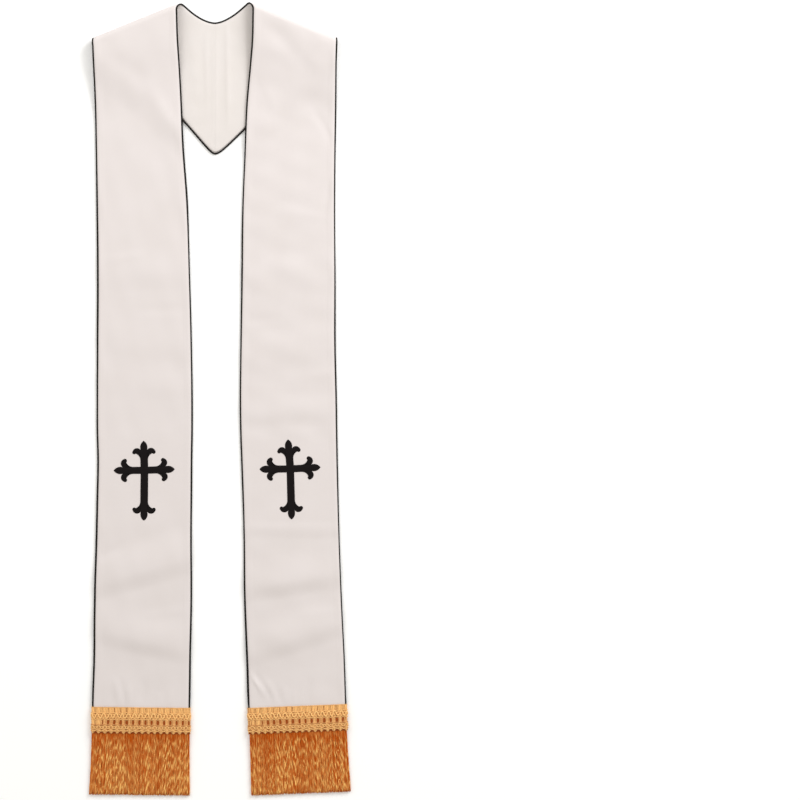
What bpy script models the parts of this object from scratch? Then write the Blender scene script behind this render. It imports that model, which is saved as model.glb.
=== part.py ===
"""A clerical stole, laid flat with its fronts up and its back folded under at the shoulders.

The stole is two halves joined at the centre of the back. Each half is one strip of face cloth over one
of lining: it starts at the back seam, runs out to the shoulder, folds over and comes down the front to
the hem. Black piping covers both long edges, a gold braid wraps each hem, and a fringe hangs below it.

Sizes are in millimetres, and MM turns them into metres. A place is given by OUT, the distance from the
centre line, and DOWN, the distance below the top of the shoulders, on the left half (SIDE -1) and the
right half (SIDE 1) alike.
"""

import math
from functools import partial

import bmesh
import bpy
import numpy as np

for old in list(bpy.data.objects):
    bpy.data.objects.remove(old, do_unlink=True)

MM = 0.001

# Cloth, piping and the gaps between pieces
CLOTH_WALL = 1.25
SEAM_GAP = 0.3
PIPING_WIDTH = 2.8
LAYERS = 2 * CLOTH_WALL + SEAM_GAP
EDGE_INSET = PIPING_WIDTH / 2 + SEAM_GAP

# The roll of the shoulder fold, and how the front comes down from it on to the back and the floor
FOLD_RADIUS = 8.0
OVER_BACK = LAYERS + 0.5
SHOULDER_FALL = 130.0
BACK_EDGE_HELD = 10.0
BACK_EDGE_FALL = 35.0

# The neck edge and the V edge of the back
NECK_DIP = 36.8
NECK_CURVE = 0.036
NECK_POWER = 1.7
V_POINT = 250.0
V_SHAPE = {
    # side: (slope, rounding of the point, bow)
    -1: (1.27, 7.5, 0.00153),
    1: (0.965, 8.7, 0.0),
}

# Where the shoulder fold starts at the neck and ends at the tip
SHOULDERS = {
    # side: (neck out, neck down, tip out, tip down)
    -1: (62.1, 7.4, 197.9, 62.7),
    1: (64.5, 6.4, 200.2, 62.7),
}
# How far past the ends above the neck edge and the outer edge cross the fold, and start on the front
FOLD_CROSSINGS = {
    # side: (neck crossing, neck start, tip crossing, tip start)
    -1: (-5.4, 3.7, 0.6, 4.1),
    1: (-8.2, 2.3, -1.6, 2.1),
}

# The two edges of each front, from the shoulder to the hem
FRONT_EDGES = (
    # down, left inner, left outer, right inner, right outer
    (16, 62.5, 199.5, 63.7, 200.2),
    (69, 60.4, 198.4, 61.5, 199.1),
    (98, 58.6, 197.4, 58.9, 198.3),
    (163, 55.3, 195.4, 52.7, 197.4),
    (245, 51.9, 194.0, 49.0, 196.2),
    (327, 45.9, 192.6, 45.6, 195.6),
    (457, 41.3, 191.3, 44.1, 196.4),
    (654, 37.4, 192.3, 41.5, 198.0),
    (866, 39.2, 193.1, 47.2, 202.6),
    (980, 38.9, 196.1, 48.9, 206.7),
    (1078, 40.9, 197.2, 52.9, 211.4),
    (1149, 41.8, 199.5, 55.1, 213.7),
    (1190, 42.3, 200.0, 56.4, 215.0),
)
LEVEL_FROM = 245.0
HEM_DOWN = 1188.0
HEM_LEAN_FROM = 654.0
HEM_RISE = {-1: 1.8, 1: 4.9}

# Soft waves across each front, where the cloth arches off the floor
WAVES = {
    # side: rows of down at the middle, height, half length, slope outwards
    -1: (
        (458, 3.0, 34, 0.02),
        (572, 3.4, 30, -0.10),
        (650, 2.6, 28, 0.04),
        (942, 4.2, 36, 0.16),
        (1052, 3.4, 32, -0.06),
    ),
    1: (
        (462, 3.2, 34, -0.03),
        (577, 3.8, 32, -0.14),
        (655, 2.4, 26, 0.05),
        (884, 2.8, 28, 0.02),
        (958, 4.0, 34, -0.16),
        (1062, 3.6, 32, -0.12),
    ),
}

# Steps of the strip: its back rows as shares of the way from the seam, the fold, and the front
BACK_SHARES = (0.0, 0.02, 0.05, 0.12, 0.25, 0.4, 0.6, 0.8, 1.0)
FOLD_STEPS = 6
TURN_STEPS = 10
FRONT_STEPS = 44
CROSSWAYS = 5

# The header braid and the fringe
BRAID_WALL = 1.5
BRAID_ABOVE_HEM = 33.0
BRAID_BELOW_HEM = 12.8
BRAID_BANDS = (
    # share of the braid's height from its top, how far it stands up
    (0.0, 0.0),
    (0.05, 0.5),
    (0.42, 0.5),
    (0.5, 0.0),
    (0.62, 0.0),
    (0.7, 0.5),
    (0.93, 0.5),
    (1.0, 0.0),
)
BRAID_ROUND_STEPS = 6
HEM_LIFT_LENGTH = 45.0
HEM_LIFT = BRAID_WALL + SEAM_GAP
STRIP_DEPTH = 12.0
LOCKS_ACROSS = 44
LOCK_LENGTH = 97.0
LOCK_VARIES = 3.0
LOCK_SWAY = 2.0
LOCK_SWAY_TURNS = 1.4
LOCK_STRAY = 0.6
FRINGE_SPREAD = 2.0
LOCK_STEPS = (
    # share of the length, share of the root's width, how much of the root's height is held
    (0.3, 0.74, 0.45),
    (1.0, 0.42, 0.0),
)
UPPER_ROW = 0.95
FLOOR_CLEAR = 0.35

# The embroidered cross on each front
CROSS_THICKNESS = 1.0
CROSSES = {
    # side: (out, down of the crossing, turn in degrees)
    -1: (114.4, 767.3, 0.8),
    1: (123.0, 765.0, 2.7),
}
CROSS_ARMS = (
    # turn from the top arm, reach from the crossing, half width of its bar
    (0, 48.5, 5.85),
    (90, 50.0, 5.25),
    (180, 83.5, 5.85),
    (270, 50.0, 5.25),
)
# The bud at the end of an arm, by distances back from its tip and out from its middle line
LEAF_HALF_WIDTH = 5.3
LEAF_WIDEST = 8.5
LEAF_END = 13.6
CURL_BACK = 19.6
CURL_OUT = 11.6
CURL_RADIUS = 7.2
CURL_STARTS = 233.0
CURL_TIP_BACK = 18.9
CURL_TIP_RADIUS = 2.8
BUD_NECK_BACK = 31.5
BUD_NECK_RADIUS = 11.0
BUD_NECK_STARTS = 196.0

# The middle of the two layers, where they lie on the floor and inside the braid
FLOOR_LAYER = LAYERS / 2
HEM_LEVEL = FLOOR_LAYER + HEM_LIFT

COLOURS = {
    # finish: (colour, roughness, metallic)
    "face_cloth": ((0.83, 0.79, 0.74, 1.0), 0.7, 0.0),
    "lining_cloth": ((0.80, 0.77, 0.71, 1.0), 0.65, 0.0),
    "piping_cord": ((0.017, 0.013, 0.013, 1.0), 0.6, 0.0),
    "header_braid": ((0.77, 0.38, 0.11, 1.0), 0.5, 0.1),
    "fringe_yarn": ((0.55, 0.16, 0.025, 1.0), 0.45, 0.1),
    "embroidery": ((0.010, 0.008, 0.008, 1.0), 0.45, 0.0),
}

stole = bpy.data.collections.new("clerical_stole")
bpy.context.scene.collection.children.link(stole)


def finish(slot):
    """The material of one finish, made the first time that it is asked for."""
    if slot in bpy.data.materials:
        return bpy.data.materials[slot]
    colour, roughness, metallic = COLOURS[slot]
    material = bpy.data.materials.new(slot)
    material.use_nodes = True
    shader = material.node_tree.nodes["Principled BSDF"]
    shader.inputs["Base Color"].default_value = colour
    shader.inputs["Roughness"].default_value = roughness
    shader.inputs["Metallic"].default_value = metallic
    return material


def add_piece(name, data, slot):
    """Puts a mesh or a curve in the collection as one named piece."""
    piece = bpy.data.objects.new(name, data)
    data.materials.append(finish(slot))
    stole.objects.link(piece)
    return piece


def eased(share):
    """A share of the way from 0 to 1, with a soft start and end."""
    share = np.clip(share, 0.0, 1.0)
    return share * share * (3.0 - 2.0 * share)


def neck_edge(out):
    """How far down the neck edge of the back lies."""
    return NECK_DIP - NECK_CURVE * abs(out) ** NECK_POWER


def v_edge(side, out):
    """How far down the V edge of the back lies, with its point rounded."""
    slope, rounding, bow = V_SHAPE[side]
    return V_POINT - slope * (math.hypot(out, rounding) - rounding) + bow * out * out


def fold_frame(side):
    """The neck end of the shoulder fold, the way along it, and its length."""
    neck_out, neck_down, tip_out, tip_down = SHOULDERS[side]
    start = np.array((neck_out, neck_down))
    way = np.array((tip_out, tip_down)) - start
    length = float(np.linalg.norm(way))
    return start, way / length, length


def below_fold(side, out, down):
    """How far a place lies inwards from the shoulder fold."""
    start, way, _ = fold_frame(side)
    return way[0] * (down - start[1]) - way[1] * (out - start[0])


def fold_meets(side, edge):
    """How far out an edge of the back comes within the roll of the fold."""
    inner, outer = 0.0, SHOULDERS[side][2]
    for _ in range(40):
        middle = (inner + outer) / 2
        if below_fold(side, middle, edge(middle)) > FOLD_RADIUS:
            inner = middle
        else:
            outer = middle
    return inner


def back_edge(edge, out, inset, way):
    """A place on an edge of the back, moved in from it by the inset: down for way 1, up for -1."""
    step = 0.01
    slope = (edge(out + step) - edge(out - step)) / (2 * step)
    length = math.hypot(1.0, slope)
    return np.array((out - way * slope / length * inset, edge(out) + way / length * inset))


def front_out(side, edge, down):
    """How far out an edge of a front lies, on a smooth curve through its rows."""
    rows = np.array(FRONT_EDGES, float)
    column = (1 if side < 0 else 3) + edge
    at, value = rows[:, 0], rows[:, column]
    slope = np.gradient(value, at)
    row = int(np.clip(np.searchsorted(at, down) - 1, 0, len(at) - 2))
    span = at[row + 1] - at[row]
    share = (down - at[row]) / span
    bend = share * share * (3 - 2 * share)
    return (
        value[row] * (1 - bend)
        + value[row + 1] * bend
        + span * slope[row] * share * (1 - share) ** 2
        - span * slope[row + 1] * share * share * (1 - share)
    )


def front_edge(side, edge, down, inset):
    """A place on the inner (0) or outer (1) edge of a front, moved in from it by the inset."""
    step = 0.5
    slope = (front_out(side, edge, down + step) - front_out(side, edge, down - step)) / (2 * step)
    length = math.hypot(1.0, slope)
    way = 1 if edge == 0 else -1
    return np.array((front_out(side, edge, down) + way * inset / length, down - way * slope * inset / length))


def wave_height(side, out, down):
    """How high the soft waves lift a front off the floor."""
    height = 0.0
    for middle, rise, half_length, slope in WAVES[side]:
        away = down - middle - slope * (out - 120.0)
        if abs(away) < half_length:
            height += rise * math.cos(away / half_length * math.pi / 2) ** 2
    return height


def front_height(side, out, down):
    """The height of the middle of a front's two layers: over the fold, the back, a wave or the braid."""
    from_fold = below_fold(side, out, down) - FOLD_RADIUS
    shoulder = (2 * FOLD_RADIUS - OVER_BACK) * (1.0 - eased(from_fold / SHOULDER_FALL))
    past_back = (down - v_edge(side, out)) / math.hypot(1.0, V_SHAPE[side][0])
    landed = eased((past_back - BACK_EDGE_HELD) / BACK_EDGE_FALL) * eased(from_fold / SHOULDER_FALL * 3)
    hem = HEM_LIFT * eased((down - (HEM_DOWN - BRAID_ABOVE_HEM - HEM_LIFT_LENGTH - 4)) / HEM_LIFT_LENGTH)
    return FLOOR_LAYER + shoulder + OVER_BACK * (1.0 - landed) + wave_height(side, out, down) + hem


def strip_rows(side, inset):
    """The rows of points across one half, from the back seam over the shoulder to the hem.

    Each row runs from the neck edge to the outer edge, in OUT, DOWN and height.
    """
    shares = np.linspace(0.0, 1.0, CROSSWAYS + 1)
    start, way, length = fold_frame(side)
    inwards = np.array((-way[1], way[0]))
    rows = []
    v_line = partial(v_edge, side)
    neck_reach, v_reach = fold_meets(side, neck_edge), fold_meets(side, v_line)
    for share in BACK_SHARES:
        inner = back_edge(neck_edge, share * neck_reach, inset, 1)
        outer = back_edge(v_line, share * v_reach, inset, -1)
        if share == 0.0:
            inner[0] = outer[0] = SEAM_GAP / 2
        rows.append([(*(inner + (outer - inner) * s), FLOOR_LAYER) for s in shares])
    back_inner = float(np.dot(np.array((neck_reach, neck_edge(neck_reach))) - start, way))
    back_outer = float(np.dot(np.array((v_reach, v_line(v_reach))) - start, way))
    neck_crossing, front_inner, tip_crossing, front_outer = FOLD_CROSSINGS[side]
    tip_crossing += length
    front_outer += length
    for step in range(1, FOLD_STEPS + 1):
        share = step / FOLD_STEPS
        turn = share * math.pi
        ends = []
        for back_end, crossing, front_end, inwards_way in (
            (back_inner, neck_crossing, front_inner, 1),
            (back_outer, tip_crossing, front_outer, -1),
        ):
            slant = (front_end - back_end) / (math.pi * FOLD_RADIUS)
            swing = 4 * crossing - 2 * (back_end + front_end)
            along = back_end + (front_end - back_end) * share + swing * share * (1 - share)
            ends.append(along + inwards_way * inset * math.hypot(1.0, slant))
        row = []
        for s in shares:
            along = ends[0] + (ends[1] - ends[0]) * s
            place = start + way * along + inwards * FOLD_RADIUS * (1 - math.sin(turn))
            row.append((*place, FLOOR_LAYER + FOLD_RADIUS * (1 - math.cos(turn))))
        rows.append(row)
    inner_start = float((start + way * front_inner + inwards * FOLD_RADIUS)[1])
    outer_start = float((start + way * front_outer + inwards * FOLD_RADIUS)[1])
    downs = [
        (inner_start + (LEVEL_FROM - inner_start) * t, outer_start + (LEVEL_FROM - outer_start) * t)
        for t in (step / TURN_STEPS for step in range(1, TURN_STEPS + 1))
    ]
    for step in range(1, FRONT_STEPS + 1):
        down = LEVEL_FROM + (HEM_DOWN - LEVEL_FROM) * step / FRONT_STEPS
        rise = HEM_RISE[side] * eased((down - HEM_LEAN_FROM) / (HEM_DOWN - HEM_LEAN_FROM))
        downs.append((down, down - rise))
    for inner_down, outer_down in downs:
        inner = front_edge(side, 0, inner_down, inset)
        outer = front_edge(side, 1, outer_down, inset)
        row = []
        for s in shares:
            place = inner + (outer - inner) * s
            row.append((*place, front_height(side, *place)))
        rows.append(row)
    return np.array(rows)


def in_space(side, places):
    """Turns OUT, DOWN and height into X, Y and Z."""
    points = np.array(places, float)
    points[..., 0] *= side
    points[..., 1] *= -1
    return points


def outwards(side, points):
    """The direction out of the face cloth at each point of a strip."""
    along = np.gradient(points, axis=0)
    across = np.gradient(points, axis=1)
    normal = side * np.cross(along, across)
    return normal / np.linalg.norm(normal, axis=2, keepdims=True)


def cloth_layer(name, side, offset, slot):
    """One layer of cloth: the strip moved out of its middle by the offset, with its wall's thickness."""
    points = in_space(side, strip_rows(side, EDGE_INSET))
    points = points + outwards(side, points) * offset
    mesh = bpy.data.meshes.new(name)
    sheet = bmesh.new()
    bmesh.ops.create_grid(sheet, x_segments=points.shape[1] - 1, y_segments=points.shape[0] - 1, size=1.0)
    for vertex, point in zip(sheet.verts, points.reshape(-1, 3)):
        vertex.co = point * MM
    sheet.to_mesh(mesh)
    sheet.free()
    mesh.shade_smooth()
    piece = add_piece(name, mesh, slot)
    wall = piece.modifiers.new("wall", "SOLIDIFY")
    wall.thickness = CLOTH_WALL * MM
    wall.offset = 0.0
    return piece


def piping(name, edge, slot):
    """A covered cord along the neck edge (0) or the outer edge (-1) of both halves, in one length."""
    left = in_space(-1, strip_rows(-1, 0.0))[:, edge]
    right = in_space(1, strip_rows(1, 0.0))[:, edge]
    line = np.concatenate((left[:0:-1], (left[:1] + right[:1]) / 2, right[1:]))
    curve = bpy.data.curves.new(name, "CURVE")
    curve.dimensions = "3D"
    curve.bevel_depth = PIPING_WIDTH / 2 * MM
    curve.bevel_resolution = 1
    curve.use_fill_caps = True
    spline = curve.splines.new("POLY")
    spline.points.add(len(line) - 1)
    for point, place in zip(spline.points, line):
        point.co = (*(place * MM), 1.0)
    return add_piece(name, curve, slot)


def hem_frame(side):
    """The middle of the piping's end on the neck side of the hem, the way across, down, and the width."""
    ends = in_space(side, strip_rows(side, 0.0))[-1]
    width = float(np.linalg.norm(ends[-1] - ends[0]))
    across = (ends[-1] - ends[0]) / width
    down = side * np.cross(across, (0.0, 0.0, 1.0))
    return ends[0], across, down, width


def braid(name, side, slot):
    """The header braid: a flat band wrapped round the hem, raised in two bands on the front."""
    corner, across, down, width = hem_frame(side)
    round_hem = []
    radius = PIPING_WIDTH / 2 + SEAM_GAP + BRAID_WALL
    top_side = 0.9 * radius
    for middle, first in ((width, -90.0), (0.0, 90.0)):
        for step in range(BRAID_ROUND_STEPS + 1):
            turn = math.radians(first + 180.0 * step / BRAID_ROUND_STEPS)
            round_hem.append((middle + radius * math.cos(turn), radius * math.sin(turn)))
    mesh = bpy.data.meshes.new(name)
    band = bmesh.new()
    ring = [band.verts.new((x, 0.0, z)) for x, z in round_hem]
    edges = [band.edges.new((ring[i], ring[(i + 1) % len(ring)])) for i in range(len(ring))]
    height = BRAID_ABOVE_HEM + BRAID_BELOW_HEM
    for (share, _), (below, _) in zip(BRAID_BANDS, BRAID_BANDS[1:]):
        drawn = bmesh.ops.extrude_edge_only(band, edges=edges)["geom"]
        edges = [part for part in drawn if isinstance(part, bmesh.types.BMEdge)]
        moved = [part for part in drawn if isinstance(part, bmesh.types.BMVert)]
        bmesh.ops.translate(band, verts=moved, vec=(0.0, (below - share) * height, 0.0))
    for vertex in band.verts:
        x, y, z = vertex.co
        if z > top_side:
            z += np.interp(y / height, *zip(*BRAID_BANDS))
        vertex.co = (corner + across * x + down * (y - BRAID_ABOVE_HEM) + np.array((0.0, 0.0, z))) * MM
    bmesh.ops.recalc_face_normals(band, faces=band.faces)
    facing = sum(face.normal.z * (face.calc_center_median().z - HEM_LEVEL * MM) for face in band.faces)
    if facing < 0:
        bmesh.ops.reverse_faces(band, faces=band.faces)
    band.to_mesh(mesh)
    band.free()
    piece = add_piece(name, mesh, slot)
    wall = piece.modifiers.new("wall", "SOLIDIFY")
    wall.thickness = BRAID_WALL * MM
    wall.offset = -1.0
    return piece


def fringe(name, side, slot):
    """The fringe of one end: two rows of locks drawn out of the lower face of a narrow strip."""
    corner, across, down, width = hem_frame(side)
    pick = np.random.default_rng(7 + side)
    mesh = bpy.data.meshes.new(name)
    locks = bmesh.new()
    lock_number = locks.faces.layers.int.new("lock")
    bmesh.ops.create_grid(locks, x_segments=LOCKS_ACROSS, y_segments=2, size=0.5)
    for vertex in locks.verts:
        x, z, _ = vertex.co
        vertex.co = ((x + 0.5) * width, SEAM_GAP, z * PIPING_WIDTH)
    roots = list(locks.faces)
    bmesh.ops.extrude_face_region(locks, geom=roots, use_keep_orig=True)
    for vertex in {vertex for face in roots for vertex in face.verts}:
        vertex.co.y += STRIP_DEPTH
    bmesh.ops.recalc_face_normals(locks, faces=locks.faces)
    plans = []
    for number, face in enumerate(roots):
        face[lock_number] = number
        root = face.calc_center_median()
        sway = LOCK_SWAY * math.sin(root.x / width * LOCK_SWAY_TURNS * math.tau + side)
        sway += pick.normal(0.0, LOCK_STRAY)
        plans.append((root, sway, LOCK_LENGTH + pick.uniform(-LOCK_VARIES, LOCK_VARIES)))
    faces = roots
    for share, narrow, held in LOCK_STEPS:
        faces = bmesh.ops.extrude_discrete_faces(locks, faces=faces)["faces"]
        half_wide = width / LOCKS_ACROSS / 2 * narrow
        half_tall = PIPING_WIDTH / 4 * narrow
        for face in faces:
            root, sway, length = plans[face[lock_number]]
            lying = FLOOR_CLEAR - HEM_LEVEL + half_tall + (UPPER_ROW if root.z > 0 else 0.0)
            middle = face.calc_center_median()
            spread = (root.x / width - 0.5) * FRINGE_SPREAD
            for vertex in face.verts:
                wide = math.copysign(half_wide, vertex.co.x - middle.x)
                tall = math.copysign(half_tall, vertex.co.z - middle.z)
                vertex.co.x = root.x + (sway + spread) * share * share + wide
                vertex.co.y = SEAM_GAP + STRIP_DEPTH + length * share
                vertex.co.z = lying + (root.z - lying) * held + tall
    for vertex in locks.verts:
        x, y, z = vertex.co
        vertex.co = (corner + across * x + down * y + np.array((0.0, 0.0, z))) * MM
    bmesh.ops.recalc_face_normals(locks, faces=locks.faces)
    if locks.calc_volume(signed=True) < 0:
        bmesh.ops.reverse_faces(locks, faces=locks.faces)
    locks.to_mesh(mesh)
    locks.free()
    return add_piece(name, mesh, slot)


def arc(back, out, radius, first, last, steps):
    """Points on a round stretch of the cross, by its middle, radius and angles in degrees."""
    turns = np.radians(np.linspace(first, last, steps + 1))
    return [(back + radius * math.cos(t), out + radius * math.sin(t)) for t in turns]


def arm_half(bar):
    """Half the outline of a budded arm, from its tip back to the bar: distance back and out."""
    drop = (LEAF_WIDEST**2 - LEAF_HALF_WIDTH**2) / (2 * LEAF_HALF_WIDTH)
    leaf_radius = LEAF_HALF_WIDTH + drop
    tip_angle = math.degrees(math.atan2(drop, -LEAF_WIDEST))
    end_angle = math.degrees(math.acos((LEAF_END - LEAF_WIDEST) / leaf_radius))
    outline = arc(LEAF_WIDEST, -drop, leaf_radius, tip_angle, end_angle, 3)
    outline += arc(CURL_BACK, CURL_OUT, CURL_RADIUS, CURL_STARTS, 90.0, 5)
    tip_out = CURL_OUT + CURL_RADIUS - CURL_TIP_RADIUS
    outline += arc(CURL_TIP_BACK, tip_out, CURL_TIP_RADIUS, 55.0, -35.0, 2)
    outline += arc(BUD_NECK_BACK, bar + BUD_NECK_RADIUS, BUD_NECK_RADIUS, BUD_NECK_STARTS, 270.0, 4)
    return outline


def cross(name, side, slot):
    """The embroidered cross: four budded arms in one outline, just clear of the face cloth."""
    middle_out, middle_down, turn = CROSSES[side]
    outline = []
    for arm, (arm_turn, reach, bar) in enumerate(CROSS_ARMS):
        half = [(out, reach - back) for back, out in arm_half(bar)]
        arm_outline = [(-out, up) for out, up in reversed(half)] + half[1:]
        next_bar = CROSS_ARMS[(arm + 1) % 4][2]
        arm_outline.append((bar, next_bar))
        spin = math.radians(-arm_turn)
        for x, y in arm_outline:
            outline.append((x * math.cos(spin) - y * math.sin(spin), x * math.sin(spin) + y * math.cos(spin)))
    curve = bpy.data.curves.new(name, "CURVE")
    curve.dimensions = "2D"
    curve.fill_mode = "BOTH"
    curve.extrude = CROSS_THICKNESS / 2 * MM
    spline = curve.splines.new("POLY")
    spline.use_cyclic_u = True
    spline.points.add(len(outline) - 1)
    for point, (x, y) in zip(spline.points, outline):
        point.co = (x * MM, y * MM, 0.0, 1.0)
    piece = add_piece(name, curve, slot)
    top = FLOOR_LAYER + LAYERS / 2
    piece.location = (side * middle_out * MM, -middle_down * MM, (top + SEAM_GAP + CROSS_THICKNESS / 2) * MM)
    piece.rotation_euler.z = math.radians(turn)
    return piece


layer_offset = (SEAM_GAP + CLOTH_WALL) / 2
for side, half in ((-1, "left"), (1, "right")):
    cloth_layer("face_" + half, side, layer_offset, "face_cloth")
    cloth_layer("lining_" + half, side, -layer_offset, "lining_cloth")
    braid("braid_" + half, side, "header_braid")
    fringe("fringe_" + half, side, "fringe_yarn")
    cross("cross_" + half, side, "embroidery")
piping("piping_inner", 0, "piping_cord")
piping("piping_outer", -1, "piping_cord")

# The origin goes to the middle of the stole's outline, on the floor
bpy.context.view_layer.update()
graph = bpy.context.evaluated_depsgraph_get()
places = []
for piece in stole.objects:
    shown = piece.evaluated_get(graph)
    places += [shown.matrix_world @ vertex.co for vertex in shown.to_mesh().vertices]
    shown.to_mesh_clear()
middle = (np.min(places, axis=0) + np.max(places, axis=0)) / 2
for piece in stole.objects:
    piece.location.x -= middle[0]
    piece.location.y -= middle[1]
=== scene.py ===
"""A clerical stole laid flat: two ivory fronts with black piping and embroidered crosses, the V of the back
folded under them at the shoulders, and a gold braid with a copper fringe on each hem."""

import math
from functools import partial

import bmesh
import bpy
import numpy as np
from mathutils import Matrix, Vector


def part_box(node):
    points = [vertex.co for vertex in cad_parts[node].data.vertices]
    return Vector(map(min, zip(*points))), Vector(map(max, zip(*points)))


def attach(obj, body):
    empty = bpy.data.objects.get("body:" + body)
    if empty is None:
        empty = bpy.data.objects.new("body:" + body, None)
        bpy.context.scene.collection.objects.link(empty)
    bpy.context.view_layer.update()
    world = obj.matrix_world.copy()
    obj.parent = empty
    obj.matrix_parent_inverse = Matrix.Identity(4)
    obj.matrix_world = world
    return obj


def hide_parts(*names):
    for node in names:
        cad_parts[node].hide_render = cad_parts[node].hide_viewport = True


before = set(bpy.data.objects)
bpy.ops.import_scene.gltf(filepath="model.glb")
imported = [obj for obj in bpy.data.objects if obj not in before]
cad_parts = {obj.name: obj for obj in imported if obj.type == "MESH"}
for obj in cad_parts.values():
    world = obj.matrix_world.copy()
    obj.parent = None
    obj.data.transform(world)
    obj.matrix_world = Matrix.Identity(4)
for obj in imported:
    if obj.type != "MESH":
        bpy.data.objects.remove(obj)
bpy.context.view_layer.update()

# Face cloth
# The outside of the stole is ivory twill, one strip for each half: from the seam at the back of the neck,
# out to the shoulder, over the fold and down the front to the hem. Sizes are in millimetres. A place on a
# half is told by out, from the centre line, and down, from the top of the shoulders.

MM = 0.001
SEAM_GAP = 0.3
PIPING_RADIUS = 1.4
LAYERS = 2.8
FLOOR_LAYER = LAYERS / 2

# The roll of the shoulder fold, and the way down from it over the back to the floor
FOLD_RADIUS = 8.0
OVER_BACK = LAYERS + 0.5
SHOULDER_FALL = 130.0
BACK_EDGE_HELD = 10.0
BACK_EDGE_FALL = 35.0

# The neck edge and the V edge of the back
NECK_DIP = 37.0
NECK_SHAPE = {
    # side: curve, power
    -1: (0.0297, 1.748),
    1: (0.0467, 1.644),
}
V_POINT = 250.1
V_SHAPE = {
    # side: slope, rounding of the point, bow
    -1: (1.298, 7.5, 0.00167),
    1: (1.047, 10.2, 0.00037),
}

# The shoulder fold of each side: neck end out and down, tip end out and down
SHOULDERS = {-1: (62.1, 7.4, 197.9, 62.7), 1: (64.5, 6.4, 200.2, 62.7)}
# How far past those ends the two edges cross the fold, and start on the front
FOLD_CROSSINGS = {
    # side: neck crossing, neck start, tip crossing, tip start
    -1: (-5.4, 3.1, 0.6, 4.1),
    1: (-7.8, 1.6, -1.6, 2.1),
}
# The piping draws the fold in at its neck end
NECK_DRAWN_IN = 1.7
NECK_DRAWN_LENGTH = 22.0

FRONT_EDGES = np.array((
    # down, left inner, left outer, right inner, right outer
    (16, 61.9, 199.5, 63.0, 200.2),
    (69, 60.4, 198.4, 61.5, 199.1),
    (98, 58.6, 197.4, 58.9, 198.3),
    (163, 55.3, 195.4, 52.7, 197.4),
    (245, 51.9, 194.0, 49.0, 196.2),
    (327, 45.9, 192.6, 45.6, 195.6),
    (457, 41.3, 191.2, 44.0, 196.2),
    (556, 38.8, 191.8, 42.3, 195.9),
    (654, 37.5, 192.3, 41.3, 198.0),
    (700, 37.6, 192.2, 41.9, 198.7),
    (751, 38.4, 190.9, 43.7, 199.6),
    (812, 38.8, 192.0, 45.8, 201.1),
    (866, 39.2, 193.1, 47.2, 202.6),
    (980, 38.9, 196.1, 48.9, 206.7),
    (1078, 40.9, 197.2, 52.9, 211.4),
    (1149, 41.8, 199.5, 55.1, 213.7),
    (1190, 42.3, 200.0, 56.4, 215.0),
))
LEVEL_FROM = 245.0
HEM_DOWN = 1188.0
HEM_LEAN_FROM = 654.0
HEM_RISE = {-1: 1.8, 1: 6.3}
BRAID_ABOVE_HEM = 33.0
HEM_LIFT_LENGTH = 85.0
HEM_LIFT = 1.8
HEM_LEVEL = FLOOR_LAYER + HEM_LIFT

WAVES = {
    # side: rows of down at the crest, height, length above and below it, slope outwards
    -1: (
        (441, 1.6, 44, 36, 0.0),
        (560, 1.1, 40, 32, -0.06),
        (626, 1.0, 34, 30, 0.0),
        (931, 4.4, 56, 33, 0.28),
        (1042, 3.6, 54, 31, -0.22),
        (1045, 1.7, 150, 105, 0.0),
    ),
    1: (
        (449, 1.5, 42, 36, -0.03),
        (571, 1.6, 40, 34, -0.14),
        (671, 1.7, 34, 27, 0.0),
        (865, 1.5, 16, 16, 0.0),
        (947, 4.1, 46, 30, -0.14),
        (1043, 4.1, 54, 31, -0.32),
        (1045, 1.5, 150, 105, 0.0),
    ),
}

FACE_CREASES = {
    # side: rows of out, down, half length, half width, height, turn from straight down in degrees
    -1: (
        (82, 184, 46, 11, 1.2, -31),
        (62, 300, 60, 9, 0.5, -8),
        (138, 112, 34, 15, -1.1, -55),
        (150, 420, 30, 8, 0.5, 80),
        (90, 505, 40, 9, -0.5, 88),
        (178, 905, 26, 8, -0.8, 62),
        (80, 1000, 34, 9, 0.6, 84),
        (141, 1136, 15, 2.8, 1.3, -3),
        (150, 1130, 20, 3.2, -1.1, -9),
        (159, 1129, 22, 3.0, 1.5, -13),
        (169, 1138, 13, 2.6, -0.8, -6),
        (92, 1141, 10, 2.8, 0.7, -4),
        (74, 1137, 13, 3.2, 0.7, 6),
        (118, 1128, 18, 5.0, -0.8, 12),
    ),
    1: (
        (118, 74, 56, 14, -1.6, 42),
        (86, 150, 36, 10, 0.6, 22),
        (178, 206, 30, 7, -0.9, 30),
        (184, 322, 34, 6, -0.7, -12),
        (150, 350, 46, 9, 0.5, 78),
        (78, 520, 36, 9, -0.5, 96),
        (176, 610, 30, 8, 0.5, 100),
        (120, 867, 58, 9, -0.8, 92),
        (170, 1000, 34, 9, 0.6, 98),
        (68, 1116, 27, 3.2, 1.6, 36),
        (81, 1122, 25, 3.0, -1.2, 32),
        (93, 1130, 19, 2.8, 1.5, 20),
        (104, 1135, 15, 2.6, -0.9, 12),
        (116, 1136, 14, 2.8, 1.1, 8),
        (129, 1138, 12, 2.8, 0.8, 3),
        (152, 1126, 19, 5.0, -0.8, -10),
    ),
}
CROSS_PATCH = (706.0, 860.0)

FACE_WALL = 0.5
FACE_COLUMNS = 28
FACE_INSET = 1.45
EDGE_STEPS = (0.0, 0.6, 1.3, 2.2, 3.4, 5.0, 7.0, 9.0, 10.6, 11.8, 13.0, 15.5)
NOMINAL_WIDTH = 152.0
# Steps along a strip: from the seam to the fold, round it, down to the level part, and on to the hem
FINE_STEPS = (60, 24, 60, 300)


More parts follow.
